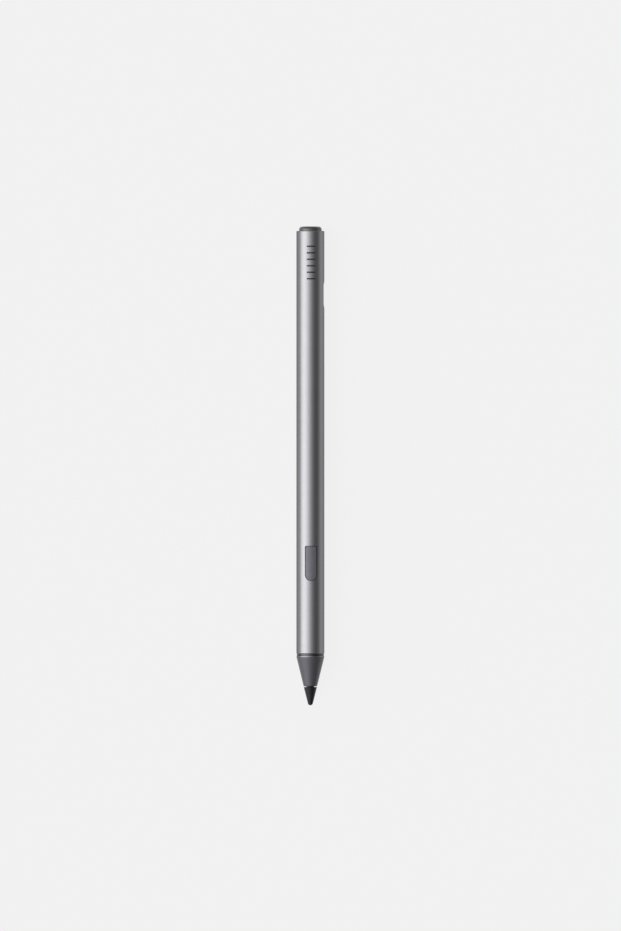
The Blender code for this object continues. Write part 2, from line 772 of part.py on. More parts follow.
def make_main_board():
    """The main board with its chips, coil, crystal, connector and screws."""
    half = BOARD_WIDTH / 2
    corner = 0.5 * MM
    outline = []
    for x, y, start in (
        (BOARD_REAR - corner, half - corner, 0),
        (BOARD_FRONT + corner, half - corner, 90),
        (BOARD_FRONT + corner, corner - half, 180),
        (BOARD_REAR - corner, corner - half, 270),
    ):
        outline += arc((x, y), corner, start, start + 90, 3)
    holes = [arc((x, 0.0), 0.65 * MM, 0, 360, 16)[:-1] for x in BOARD_SCREWS.values()]
    middle = BOARD_TOP - BOARD_THICKNESS / 2
    settle(plate("main_board", [outline, *holes], BOARD_THICKNESS, "board_green", (0.0, 0.0, middle)))
    for name, station in BOARD_SCREWS.items():
        screw(name, (station, 0.0, BOARD_TOP + CONTACT_GAP), (0, 0, -1), 2.6 * MM)
    board_block("boost_inductor", 31.2 * MM, (3.2 * MM, 3.2 * MM, 1.5 * MM), "foam_grey", 0.2 * MM)
    board_block("controller_chip", 36.2 * MM, (5 * MM, 5 * MM, 0.8 * MM), "chip_black")
    board_block("power_chip", 41.6 * MM, (3 * MM, 3 * MM, 0.7 * MM), "chip_black")
    board_block("radio_chip", 56.4 * MM, (4 * MM, 4 * MM, 0.7 * MM), "chip_black")
    board_block("clock_crystal", 60.9 * MM, (2.5 * MM, 2.0 * MM, 0.6 * MM), "nickel", 0.12 * MM)
    board_block("flex_connector", 68.4 * MM, (2.4 * MM, 4.0 * MM, 0.9 * MM), "natural_plastic", 0.08 * MM)


def tact_switch(name, seat, up, size):
    """A low push switch on a board at seat, pressed against up: a body with a well and its plunger."""
    seat, up = Vector(seat), Vector(up)
    along = Vector((abs(up.z), 0.0, abs(up.x))) * size[0] / 2
    across = Vector((0.0, size[1] / 2, 0.0))
    top = seat + up * SWITCH_HEIGHT
    corners = [seat - along - across, top + along + across]
    low = [min(c[k] for c in corners) for k in range(3)]
    high = [max(c[k] for c in corners) for k in range(3)]
    body = block(name, low, high, "steel", 0.08 * MM)
    well = rod(name + "_well", PLUNGER_RADIUS + 0.1 * MM, top - up * SWITCH_WELL, top + up * MM, None)
    carve(body, well)
    settle(body)
    start, end = top - up * PLUNGER_IN, top + up * PLUNGER_OUT
    settle(rod(name + "_plunger", PLUNGER_RADIUS, start, end, "black_plastic"))
    return end


# ---------------------------------------------------------------- side button


def make_side_button():
    """The key that fills the barrel's slot, with a flange that keeps it in and a post down to its switch."""
    seat = (KEY_STATION, 0.0, BOARD_TOP + CONTACT_GAP)
    plunger_top = tact_switch("side_switch", seat, (0, 0, 1), (3.4 * MM, 3.0 * MM))
    ends = (KEY_STATION - KEY_LENGTH, KEY_STATION + KEY_LENGTH)
    bottom = KEY_FLANGE_BOTTOM
    flange_outline = key_outline(KEY_LENGTH + 2 * KEY_FLANGE, KEY_WIDTH + 2 * KEY_FLANGE, KEY_CORNER)
    height = BARREL_RADIUS - bottom
    middle = (KEY_STATION, 0.0, bottom + height / 2)
    flange = plate("key_flange", [flange_outline], height, None, middle)
    carve(flange, disc("flange_limit", *ends, BARREL_BORE - 0.1 * MM, None), "INTERSECT")
    settle(flange)
    root = bottom + 0.2 * MM
    key_height = 6 * MM - root
    key = plate(
        "side_button",
        [key_outline(KEY_LENGTH, KEY_WIDTH, KEY_CORNER)],
        key_height,
        "key_grey",
        (KEY_STATION, 0.0, root + key_height / 2),
    )
    carve(key, disc("key_crown", *ends, BARREL_RADIUS + KEY_PROUD, None), "INTERSECT")
    edges = key.modifiers.new("Edges", "BEVEL")
    edges.width = 0.08 * MM
    edges.segments = 1
    edges.limit_method = "ANGLE"
    edges.angle_limit = math.radians(50)
    carve(key, flange, "UNION")
    foot = plunger_top + Vector((0, 0, CONTACT_GAP))
    post = rod("key_post", 0.7 * MM, foot, (KEY_STATION, 0.0, root + 0.3 * MM), None, 12)
    carve(key, post, "UNION")
    return settle(key)


# ---------------------------------------------------------------- battery, magnets and cables


def make_battery():
    """The rechargeable cell in its sleeve, its guard board, its leads, and a foam pad at each end."""
    crimp = 0.18 * MM
    edge = 0.3 * MM
    cell = [
        (CELL_FRONT, 0.0),
        (CELL_FRONT, CELL_RADIUS - edge),
        (CELL_FRONT + edge, CELL_RADIUS),
        (CELL_FRONT + 2.2 * MM, CELL_RADIUS),
        (CELL_FRONT + 2.6 * MM, CELL_RADIUS - crimp),
        (CELL_FRONT + 3.0 * MM, CELL_RADIUS),
        (CELL_REAR - edge, CELL_RADIUS),
        (CELL_REAR, CELL_RADIUS - edge),
        (CELL_REAR, 0.0),
    ]
    settle(turned("battery_cell", cell, "battery_can"))
    sleeve_bore = CELL_RADIUS + 0.03 * MM
    sleeve_front, sleeve_rear = CELL_FRONT + 0.3 * MM, CELL_REAR - 0.3 * MM
    outer = sleeve_bore + SLEEVE_WALL
    settle(tube("battery_sleeve", sleeve_front, sleeve_rear, outer, sleeve_bore, "battery_blue"))
    guard_rear = CELL_FRONT - CONTACT_GAP
    guard_front = guard_rear - 0.5 * MM
    settle(disc("battery_guard_board", guard_front, guard_rear, 2.9 * MM, "board_green"))
    pad_rear = guard_front - CONTACT_GAP
    front_pad = disc("battery_pad_front", 73.3 * MM, pad_rear, 3.1 * MM, "foam_grey", SMALL_SIDES)
    carve(front_pad, block("pad_trim", (73 * MM, -5 * MM, 0.3 * MM), (76 * MM, 5 * MM, 5 * MM), None))
    settle(front_pad)
    settle(disc("battery_pad_rear", CELL_REAR + CONTACT_GAP, 120.8 * MM, 3.1 * MM, "foam_grey", SMALL_SIDES))
    radius = 0.22 * MM
    start = guard_front - CONTACT_GAP
    for name, side, finish in (
        ("battery_lead_positive", 1, "wire_red"),
        ("battery_lead_negative", -1, "wire_black"),
    ):
        corners = [
            (start, side * 1.6 * MM, 1.0 * MM),
            (73.4 * MM, side * 1.9 * MM, 1.1 * MM),
            (72.2 * MM, side * 2.1 * MM, 1.1 * MM),
            (71.0 * MM, side * 2.5 * MM, 0.3 * MM),
            (69.9 * MM, side * 2.6 * MM, BOARD_TOP + radius + CONTACT_GAP),
        ]
        wire(name, rounded_path(corners, 4), radius, finish)


def make_magnets():
    """Two bar magnets under the barrel's lower wall, which hold the pen to a tablet's edge."""
    half = MAGNET_SIZE / 2
    for name, station in MAGNET_STATIONS.items():
        low = (station - half.x, -half.y, MAGNET_BOTTOM)
        high = (station + half.x, half.y, MAGNET_BOTTOM + MAGNET_SIZE.z)
        settle(block(name, low, high, "nickel", 0.15 * MM))


def make_flex_cable():
    """The flat cable from the main board's connector, over the battery and the port, to the end board."""
    over_battery = 3.5 * MM
    over_port = 2.3 * MM
    corners = [
        (69.6 * MM + CONTACT_GAP, 0.45 * MM),
        (71.0 * MM, 0.45 * MM),
        (72.6 * MM, 3.0 * MM),
        (73.6 * MM, over_battery),
        (76.0 * MM, over_battery),
        (118.5 * MM, over_battery),
        (120.5 * MM, over_battery),
        (123.5 * MM, over_port),
        (126.0 * MM, over_port),
        (150.0 * MM, over_port),
        (END_BOARD_FRONT - 0.1 * MM, over_port),
    ]
    outline = strip_outline(rounded_path(corners), 0.12 * MM)
    settle(plate("flex_cable", [outline], 2.2 * MM, "flex_amber", (0.0, 0.0, 0.0), ALONG_Y))


# ---------------------------------------------------------------- charging port


def contact_comb():
    """The outline of one row of port contacts, joined at the back by a bar."""
    front = PORT_MOUTH + 0.95 * MM
    bar_front, bar_rear = 0.45 * MM, 0.7 * MM
    half = CONTACT_WIDTH / 2
    first = -(CONTACT_COUNT - 1) / 2 * CONTACT_PITCH
    outline = []
    for i in range(CONTACT_COUNT):
        x = first + i * CONTACT_PITCH
        outline += [(x - half, bar_front), (x - half, front), (x + half, front), (x + half, bar_front)]
    outline += [(half - first, bar_rear), (first - half, bar_rear)]
    return outline


def make_port():
    """The receptacle's shell, its tongue with two rows of contacts, and the board behind it."""
    inner = PORT_SHELL - Vector((2, 2)) * PORT_SHELL_WALL
    depth = PORT_BACK - PORT_MOUTH
    middle = (PORT_MOUTH + PORT_BACK) / 2
    shell = plate(
        "usb_shell",
        [stadium(*PORT_SHELL), stadium(*inner)],
        depth,
        "nickel",
        (PORT_STATION, middle, 0.0),
        ALONG_Y,
    )
    settle(shell)
    fit = inner - Vector((2, 2)) * CONTACT_GAP
    root = plate(
        "usb_tongue",
        [stadium(*fit)],
        PORT_BACK - TONGUE_ROOT,
        "black_plastic",
        (PORT_STATION, (TONGUE_ROOT + PORT_BACK) / 2, 0.0),
        ALONG_Y,
    )
    half_width, half_thick = TONGUE_WIDTH / 2, TONGUE_THICKNESS / 2
    tongue = block(
        "tongue_blade",
        (PORT_STATION - half_width, TONGUE_FRONT, -half_thick),
        (PORT_STATION + half_width, TONGUE_ROOT + 0.4 * MM, half_thick),
        None,
        0.12 * MM,
    )
    carve(root, tongue, "UNION")
    settle(root)
    lift = half_thick + 0.03 * MM + CONTACT_THICKNESS / 2
    for name, height in (("usb_contacts_upper", lift), ("usb_contacts_lower", -lift)):
        at = (PORT_STATION, 0.0, height)
        settle(plate(name, [contact_comb()], CONTACT_THICKNESS, "gold_contact", at))
    board_low = (PORT_STATION - 7.9 * MM, PORT_BOARD, PORT_RAIL + CONTACT_GAP)
    board_high = (PORT_STATION + 7.9 * MM, PORT_BOARD + PORT_BOARD_THICKNESS, 1.7 * MM)
    settle(block("port_board", board_low, board_high, "board_green"))
    chip_low = (PORT_STATION - 7.3 * MM, PORT_BOARD - 0.7 * MM, -1.0 * MM)
    chip_high = (PORT_STATION - 5.3 * MM, PORT_BOARD - CONTACT_GAP, 1.0 * MM)
    settle(block("charger_chip", chip_low, chip_high, "chip_black", 0.05 * MM))


# ---------------------------------------------------------------- end button


def make_end_board():
    """The round board at the rear, with the end button's switch, the antenna and its screw."""
    rear = END_BOARD_FRONT + END_BOARD_THICKNESS
    board = disc("end_board", END_BOARD_FRONT, rear, END_BOARD_RADIUS, "board_green")
    low = (END_BOARD_FRONT - MM, 0.0, END_SCREW_HEIGHT)
    high = (rear + MM, 0.0, END_SCREW_HEIGHT)
    carve(board, rod("end_board_hole", 0.65 * MM, low, high, None, 12))
    settle(board)
    seat = rear + CONTACT_GAP
    screw("end_board_screw", (seat, 0.0, END_SCREW_HEIGHT), (-1, 0, 0), 2.2 * MM)
    plunger_end = tact_switch("end_switch", (seat, 0.0, 0.0), (1, 0, 0), (2.6 * MM, 3.0 * MM))
    antenna_low = (seat, -1.6 * MM, 1.7 * MM)
    antenna_high = (seat + 0.8 * MM, 1.6 * MM, 2.9 * MM)
    settle(block("end_antenna", antenna_low, antenna_high, "ceramic_white", 0.06 * MM))
    return plunger_end


def make_end_button(plunger_end):
    """The round button in the barrel's rear, hollow, with a groove for its clip and a stem to its switch."""
    radius, fillet = END_BUTTON_RADIUS, END_BUTTON_ROUND
    stem, bore, roof = 1.1 * MM, 2.85 * MM, 161.0 * MM
    stem_front = plunger_end.x + CONTACT_GAP
    profile = [
        (stem_front, 0.0),
        (stem_front, stem),
        (roof, stem),
        (roof, bore),
        (END_BUTTON_FRONT, bore),
        (END_BUTTON_FRONT, radius),
        (END_GROOVE_FRONT, radius),
        (END_GROOVE_FRONT, END_GROOVE_RADIUS),
        (END_GROOVE_REAR, END_GROOVE_RADIUS),
        (END_GROOVE_REAR, radius),
    ]
    profile += arc((LENGTH - fillet, radius - fillet), fillet, 90, 0, 5)
    profile.append((LENGTH, 0.0))
    settle(turned("end_button", profile, "end_grey"))


def make_end_clip():
    """The split ring in the barrel's groove that keeps the end button in."""
    clip = tube("end_clip", CLIP_FRONT, CLIP_REAR, CLIP_OUTER, CLIP_INNER, "steel")
    gap = 0.8 * MM
    carve(clip, block("clip_gap", (CLIP_FRONT - MM, -gap, 0.0), (CLIP_REAR + MM, gap, 6 * MM), None))
    settle(clip)


def main():
    make_barrel()
    make_front_rings()
    make_nib_ring()
    make_nose()
    make_nose_sleeves()
    make_front_seal()
    make_nib()
    make_nib_holder()
    make_return_spring()
    make_force_sensor()
    make_chassis()
    make_main_board()
    make_side_button()
    make_battery()
    make_magnets()
    make_flex_cable()
    make_port()
    make_end_button(make_end_board())
    make_end_clip()


main()
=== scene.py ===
"""The looks of the active stylus: fine turned and moulded surfaces around the CAD frame, and their materials.

The pen lies along X with its nib towards -X, its side button up and its charging port towards -Y. All
positions come from the frame: the boxes of its nodes, and sizes named below, in metres.
"""

import json
import math

import bmesh
import bpy
from mathutils import Matrix, Vector


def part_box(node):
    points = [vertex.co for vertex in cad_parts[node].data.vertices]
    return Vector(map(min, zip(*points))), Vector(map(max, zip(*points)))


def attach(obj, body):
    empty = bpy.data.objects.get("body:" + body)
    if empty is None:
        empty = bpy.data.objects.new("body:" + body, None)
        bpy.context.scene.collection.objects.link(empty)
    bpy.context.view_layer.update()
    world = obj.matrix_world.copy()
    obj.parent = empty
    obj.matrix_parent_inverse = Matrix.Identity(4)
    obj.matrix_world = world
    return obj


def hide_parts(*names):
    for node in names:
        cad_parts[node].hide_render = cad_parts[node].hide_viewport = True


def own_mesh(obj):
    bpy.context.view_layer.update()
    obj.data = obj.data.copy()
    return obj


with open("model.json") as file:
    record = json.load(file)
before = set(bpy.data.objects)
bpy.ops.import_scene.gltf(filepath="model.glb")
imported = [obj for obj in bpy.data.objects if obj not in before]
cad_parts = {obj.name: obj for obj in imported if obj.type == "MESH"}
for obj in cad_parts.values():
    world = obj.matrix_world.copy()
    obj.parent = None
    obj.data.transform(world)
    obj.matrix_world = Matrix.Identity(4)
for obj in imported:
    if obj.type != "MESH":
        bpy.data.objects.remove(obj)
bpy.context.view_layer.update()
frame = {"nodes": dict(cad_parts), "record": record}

MM = 0.001

# The pen's axis and true radii, from the faceted solids.
CAD_SIDES = 32
AXIS_Z = sum(corner.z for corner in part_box("barrel")) / 2
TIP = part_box("nib")[0].x
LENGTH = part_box("end_button")[1].x - TIP

# Anodised metal's reflection at a grazing angle, as a share of a bare metal's.
RIM_TINT = 0.45

# How finely round pieces are divided.
SIDES = 256
SMALL_SIDES = 96
MARK_STEPS = 24  # along a bar of the mark
COIL_STEPS = 48  # in one turn of the return spring
WIRE_SIDES = 16  # round the spring's wire
POST_SIDES = 32  # round the side key's post

CONTACT_GAP = 0.05 * MM  # between pieces that rest on each other
OVERRUN = 1.0 * MM  # how far a cutter passes what it cuts

# Barrel and rings.
BARREL_EDGE = 0.26 * MM
BARREL_WALL = 0.7 * MM
SLOT_EDGE = 0.07 * MM
RING_EDGE = 0.07 * MM
RING_BORE = 4.03 * MM
WASHER_EDGE_END = 104  # degrees: where the nib ring's rounded edge runs into its slope

# Nose and nib.
NOSE_FRONT_RADIUS = 2.35 * MM
NOSE_SLOPE = math.radians(13.7)
NOSE_ROUND = 1.0 * MM
NOSE_CHAMFER = 0.07 * MM
MOUTH_RADIUS = 1.45 * MM
MOUTH_DEPTH = 0.94 * MM
THROAT = 1.0 * MM
CAVITY_START = 8.8 * MM  # stations, from the nib's tip
CAVITY_END = 16.3 * MM
CAVITY_FRONT_RADIUS = 2.0 * MM
SPIGOT_RADIUS = 3.98 * MM
SPIGOT_BORE = 3.0 * MM
NIB_TIP = 0.87 * MM
NIB_SLOPE = math.radians(14.1)
NIB_EDGE = 0.06 * MM
NIB_BASE = 6.19 * MM  # station of its widest end
NIB_NECK = 1.3 * MM
NIB_BORE = 0.63 * MM

# Return spring.
COIL_RADIUS = 1.5 * MM
COIL_WIRE = 0.14 * MM
COIL_TURNS = 4.5

# Side key.
KEY_WIDTH = 3.64 * MM
KEY_LENGTH = 11.42 * MM
KEY_GAP = 0.24 * MM
KEY_CORNER = 0.5 * MM
KEY_ROUND = 0.3 * MM
KEY_FLANGE = 0.45 * MM
KEY_PROUD = 0.1 * MM
KEY_POST = 0.7 * MM
KEY_OVERLAP = 0.2 * MM
KEY_UNDER = 0.1 * MM  # the flange's clearance under the barrel's wall
FLANGE_BOTTOM = 2.75 * MM

# End cap: distances are from its flat top.
CAP_FILLET = 1.0 * MM
CAP_STEM = 1.1 * MM
CAP_BORE = 2.85 * MM
CAP_ROOF = 1.6 * MM
CAP_SKIRT = 4.4 * MM
CAP_GROOVE = (3.65 * MM, 2.65 * MM)
CAP_GROOVE_RADIUS = 3.5 * MM

# Charging port.
PORT_LENGTH = 9.2 * MM
PORT_WIDTH = 3.45 * MM
SHELL_WALL = 0.3 * MM
SHELL_EDGE = 0.08 * MM
TONGUE_BASE = -0.9 * MM  # how far towards the port's mouth the tongue's root reaches
TONGUE_BACK = 1.3 * MM
TONGUE_WIDTH = 6.69 * MM
TONGUE_THICKNESS = 0.7 * MM
TONGUE_EDGE = 0.12 * MM
CONTACT_COUNT = 12
CONTACT_PITCH = 0.5 * MM
CONTACT_WIDTH = 0.26 * MM
CONTACT_HEIGHTS = (0.36 * MM, 0.46 * MM)
CONTACT_EDGE = 0.03 * MM

# Printed mark.
MARK_STATION = 150.3 * MM
MARK_COUNT = 6
MARK_PITCH = 2.2 * MM
MARK_THICKNESS = 0.5 * MM
MARK_REACH = 1.45 * MM
MARK_RELIEF = 0.012 * MM
MARK_SINK = 0.02 * MM

# Camera: it looks down on the pen, turned a little about the pen's axis.
PEN_SHARE = 0.5142  # of the picture's height
AIM = Vector((0.15 * MM, -0.04 * MM, 0.0))  # where it looks, from the middle of the pen
LENS = 400.0
SENSOR = 36.0
CAMERA_ROLL = math.radians(2.7)
CAMERA_REACH = (0.01, 20.0)  # the nearest and farthest it sees

# Light: a wide key light over the pen's +Y side, a rim of light low on its -Y side, and a weak fill.
KEY_LIGHT = {"angle": 54.0, "width": 46.0, "level": 3.45}
RIM_LIGHT = {"angle": -95.0, "width": 25.0, "level": 0.78}
FILL_LEVEL = 0.15
LIGHT_NARROWING = 2.0  # how much narrower the lights are along the pen than across it
PALE = 0.88
FLOOR_GLOW = 0.84
FLOOR_COLOUR = 0.05
FLOOR_ROUGHNESS = 0.9
FLOOR_SIZE = 6.0


# ---------------------------------------------------------------- meshes

MERGE_WITHIN = 0.0001 * MM
ON_CYLINDER = 0.001 * MM  # how far inside a cylinder a point still counts as on it
FACING_OUT = 0.999  # the cosine between a face and the way out, for a face of the cylinder


def radius_of(node):
    """A turned node's true outer radius: its box spans flats, which lie inside the circle."""
    low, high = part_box(node)
    return (high.y - low.y) / 2 / math.cos(math.pi / CAD_SIDES)


def at(station):
    """The X of a station, a distance from the nib's tip."""
    return TIP + station


def new_object(name, mesh):
    made = bpy.data.objects.new(name, mesh)
    bpy.context.scene.collection.objects.link(made)
    return made


def from_bmesh(name, shape):
    bmesh.ops.recalc_face_normals(shape, faces=shape.faces)
    mesh = bpy.data.meshes.new(name)
    shape.to_mesh(mesh)
    shape.free()
    return new_object(name, mesh)


def evaluated(piece):
    """The mesh that an object's modifiers give."""
    bpy.context.view_layer.update()
    graph = bpy.context.evaluated_depsgraph_get()
    return bpy.data.meshes.new_from_object(piece.evaluated_get(graph))


def apply_modifiers(piece):
    shape = evaluated(piece)
    piece.modifiers.clear()
    piece.data = shape
    return piece


def shade(piece, angle=40.0):
    """Smooth shading between sharp edges, with large faces kept true beside small fillets."""
    apply_modifiers(piece)
    piece.data.shade_smooth()
    piece.data.set_sharp_from_angle(angle=math.radians(angle))
    weighted = piece.modifiers.new("Weighted", "WEIGHTED_NORMAL")
    weighted.keep_sharp = True
    weighted.weight = 100
    return apply_modifiers(piece)


def carve(piece, other, operation="DIFFERENCE"):
    """Cuts other from piece, joins it on, or keeps only what they share; other is used up."""
    change = piece.modifiers.new(operation.title(), "BOOLEAN")
    change.operation = operation
    change.solver = "EXACT"
    change.object = other
    apply_modifiers(piece)
    bpy.data.objects.remove(other)
    return piece


def arc(centre, radius, start, end, steps):
    """Points on an arc, from one angle to another in degrees, both ends included."""
    turns = [math.radians(start + (end - start) * i / steps) for i in range(steps + 1)]
    return [(centre[0] + radius * math.cos(t), centre[1] + radius * math.sin(t)) for t in turns]


def turned(name, profile, sides=SIDES):
    """A piece turned about the pen's axis from (x, radius) points, closed unless it starts on the axis."""
    shape = bmesh.new()
    points = [shape.verts.new((x, 0.0, r)) for x, r in profile]
    edges = [shape.edges.new(pair) for pair in zip(points, points[1:])]
    if profile[0][1] > 0:
        edges.append(shape.edges.new((points[-1], points[0])))
    bmesh.ops.spin(
        shape,
        geom=points + edges,
        cent=(0.0, 0.0, 0.0),
        axis=(1.0, 0.0, 0.0),
        angle=2 * math.pi,
        steps=sides,
        use_merge=True,
    )
    bmesh.ops.remove_doubles(shape, verts=shape.verts, dist=MERGE_WITHIN)
    bmesh.ops.translate(shape, vec=(0.0, 0.0, AXIS_Z), verts=shape.verts)
    return from_bmesh(name, shape)


def prism(name, outline, low, high, place):
    """An outline drawn in a plane and extruded from low to high along its normal, then placed."""
    shape = bmesh.new()
    face = shape.faces.new([shape.verts.new((x, y, low)) for x, y in outline])
    made = bmesh.ops.extrude_face_region(shape, geom=[face])
    moved = [v for v in made["geom"] if isinstance(v, bmesh.types.BMVert)]
    bmesh.ops.translate(shape, vec=(0.0, 0.0, high - low), verts=moved)
    bmesh.ops.transform(shape, matrix=place, verts=shape.verts)
    return from_bmesh(name, shape)


def loft(shape, sections):
    """Adds a closed form to a mesh: a skin over a row of like sections, and a cap at each end."""
    rings = [[shape.verts.new(point) for point in section] for section in sections]
    for first, second in zip(rings, rings[1:]):
        for j in range(len(first)):
            k = (j + 1) % len(first)
            shape.faces.new((first[j], first[k], second[k], second[j]))
    shape.faces.new(rings[0])
    shape.faces.new(rings[-1])


def box_mesh(name, low, high):
    low, high = Vector(low), Vector(high)
    shape = bmesh.new()
    bmesh.ops.create_cube(shape, size=1.0)
    bmesh.ops.scale(shape, vec=high - low, verts=shape.verts)
    bmesh.ops.translate(shape, vec=(low + high) / 2, verts=shape.verts)
    return from_bmesh(name, shape)


def soften(piece, width, segments=3, angle=50.0, material=-1):
    """Rounds a piece's sharp edges, and can give the new faces another of its materials."""
    bevel = piece.modifiers.new("Soft", "BEVEL")
    bevel.width = width
    bevel.segments = segments
    bevel.limit_method = "ANGLE"
    bevel.angle_limit = math.radians(angle)
    bevel.material = material
    return apply_modifiers(piece)


def join(name, pieces):
    """One object from several, in place."""
    shape = bmesh.new()
    for piece in pieces:
        shape.from_mesh(piece.data)
        bpy.data.objects.remove(piece)
    mesh = bpy.data.meshes.new(name)
    shape.to_mesh(mesh)
    shape.free()
    return new_object(name, mesh)


def stadium(length, width, steps=24):
    """A slot's outline, long in x, centred on the origin."""
    radius = width / 2
    reach = length / 2 - radius
    return arc((reach, 0.0), radius, -90, 90, steps) + arc((-reach, 0.0), radius, 90, 270, steps)


def key_outline(grow=0.0, steps=64, corner_steps=10):
    """The side key's outline, grown outwards: a half circle at the front, small corners at the rear."""
    length, width = KEY_LENGTH + 2 * grow, KEY_WIDTH + 2 * grow
    radius = width / 2
    rear, side = length / 2 - KEY_CORNER, radius - KEY_CORNER
    outline = arc((rear, -side), KEY_CORNER, -90, 0, corner_steps)
    outline += arc((rear, side), KEY_CORNER, 0, 90, corner_steps)
    outline += arc((radius - length / 2, 0.0), radius, 90, 270, steps)
    return outline


def round_normals(piece, radius):
    """Gives the faces of a piece's cylinder the normals of a true cylinder about the pen's axis."""
    mesh = piece.data
    normals = [Vector(n.vector) for n in mesh.corner_normals]
    for face in mesh.polygons:
        for loop in face.loop_indices:
            point = mesh.vertices[mesh.loops[loop].vertex_index].co
            out = Vector((0.0, point.y, point.z - AXIS_Z))
            on_cylinder = out.length > radius - ON_CYLINDER
            if on_cylinder and face.normal.dot(out.normalized()) > FACING_OUT:
                normals[loop] = out.normalized()
    mesh.normals_split_custom_set(normals)


# ---------------------------------------------------------------- materials

# Fine lines along an axis or round the pen: how much a noise is squeezed along each axis.
LINES_ALONG_X = (0.05, 1.0, 1.0)
LINES_ALONG_Y = (1.0, 0.1, 1.0)
LINES_ALONG_Z = (1.0, 1.0, 0.1)
TURNING_LINES = (1.0, 0.05, 0.05)
POLISHING_LINES = (1.0, 0.02, 0.02)

FINE_GRAIN = 0.05 * MM
TRACK_PITCH = 3.0 * MM  # the circuit board's pattern of tracks
TRACK_WIDTH = 0.03
TRACK_SOFTNESS = 0.2
TRACK_SHIFT = 0.37  # from one row to the next
TRACK_SQUASH = 0.6
TRACK_HEIGHT = 0.01 * MM
FLEX_UNIT = 1.89 * MM  # the flex cable's wave, about three copper lines wide
FLEX_HEIGHT = 0.008 * MM
FOAM_CELL = 0.15 * MM
FOAM_DEPTH = 0.05 * MM


class Surface:
    """A Principled material and the procedural detail on it. Sizes are in metres on the object."""

    def __init__(self, name, colour, roughness, metallic=0.0):
        self.material = bpy.data.materials.new(name)
        self.material.use_nodes = True
        self.nodes = self.material.node_tree.nodes
        self.links = self.material.node_tree.links
        self.shader = self.nodes["Principled BSDF"]
        self.colour = Vector(colour)
        self.roughness = roughness
        self.set("Base Color", (*colour, 1.0))
        self.set("Roughness", roughness)
        self.set("Metallic", metallic)
        self.place = self.nodes.new("ShaderNodeTexCoord").outputs["Object"]
        self.normal = None

    def set(self, socket, value):
        self.shader.inputs[socket].default_value = value
        return self

    def noise(self, size, detail=2.0, stretch=None):
        """A noise of a given grain size, drawn out along the axes where stretch is small."""
        place = self.place
        if stretch:
            scale = self.nodes.new("ShaderNodeVectorMath")
            scale.operation = "MULTIPLY"
            scale.inputs[1].default_value = stretch
            self.links.new(place, scale.inputs[0])
            place = scale.outputs["Vector"]
        noise = self.nodes.new("ShaderNodeTexNoise")
        noise.inputs["Scale"].default_value = 1.0 / size
        noise.inputs["Detail"].default_value = detail
        self.links.new(place, noise.inputs["Vector"])
        return noise.outputs["Fac"]

    def remap(self, value, low, high, start=0.3, end=0.7):
        """A value from start..end brought to low..high."""
        change = self.nodes.new("ShaderNodeMapRange")
        for socket, number in zip(("From Min", "From Max", "To Min", "To Max"), (start, end, low, high)):
            change.inputs[socket].default_value = number
        self.links.new(value, change.inputs["Value"])
        return change.outputs["Result"]

    def mix(self, factor, first, second):
        """A colour between two, each a colour or a socket."""
        mix = self.nodes.new("ShaderNodeMix")
        mix.data_type = "RGBA"
        self.links.new(factor, mix.inputs["Factor"])
        for socket, colour in ((mix.inputs[6], first), (mix.inputs[7], second)):
            if isinstance(colour, bpy.types.NodeSocket):
                self.links.new(colour, socket)
            else:
                socket.default_value = (*colour, 1.0)
        return mix.outputs[2]

    def mottled(self, size, spread, stretch=None):
        """Slow variation of the base colour by a share either way."""
        factor = self.remap(self.noise(size, 3.0, stretch), 0.0, 1.0)
        mixed = self.mix(factor, self.colour * (1 - spread), self.colour * (1 + spread))
        self.links.new(mixed, self.shader.inputs["Base Color"])
        return self

    def uneven(self, size, spread, stretch=None):
        """Variation of the roughness by an amount either way."""
        noise = self.noise(size, 3.0, stretch)
        value = self.remap(noise, self.roughness - spread, self.roughness + spread)
        self.links.new(value, self.shader.inputs["Roughness"])
        return self

    def bumped(self, value, height):
        bump = self.nodes.new("ShaderNodeBump")
        bump.inputs["Distance"].default_value = height
        bump.inputs["Strength"].default_value = 1.0
        self.links.new(value, bump.inputs["Height"])
        if self.normal:
            self.links.new(self.normal, bump.inputs["Normal"])
        self.normal = bump.outputs["Normal"]
        self.links.new(self.normal, self.shader.inputs["Normal"])
        return self

    def grained(self, size, height, stretch=None):
        """A fine relief."""
        return self.bumped(self.noise(size, stretch=stretch), height)


def anodised(name, colour, roughness):
    """Bead-blasted and anodised aluminium."""
    made = Surface(name, colour, roughness, 1.0)
    made.set("Specular Tint", (RIM_TINT, RIM_TINT, RIM_TINT, 1.0))
    made.mottled(2.5 * MM, 0.015).uneven(0.6 * MM, 0.02).grained(FINE_GRAIN, 0.0005 * MM)
    return made.material


def polished(name, colour, roughness):
    """Turned and polished metal, with faint lines round the pen's axis."""
    made = Surface(name, colour, roughness, 1.0)
    made.mottled(1.0 * MM, 0.04).uneven(0.2 * MM, roughness * 0.4)
    made.grained(0.04 * MM, 0.0003 * MM, POLISHING_LINES)
    return made.material


def moulded(name, colour, roughness, grain=0.06 * MM, height=0.0015 * MM, sheen=0.0, gloss=0.5):
    """Fine-textured moulded plastic. Sheen is how metallic its paint is, gloss how strongly it reflects."""
    made = Surface(name, colour, roughness, sheen)
    made.set("Specular IOR Level", gloss)
    made.mottled(1.5 * MM, 0.05).uneven(0.3 * MM, 0.05).grained(grain, height)
    return made.material


def metal(name, colour, roughness, lines=LINES_ALONG_X):
    """Drawn, turned or stamped metal with fine lines along one direction."""
    made = Surface(name, colour, roughness, 1.0)
    made.mottled(0.8 * MM, 0.06).uneven(0.1 * MM, 0.06, lines).grained(0.03 * MM, 0.0005 * MM, lines)
    return made.material


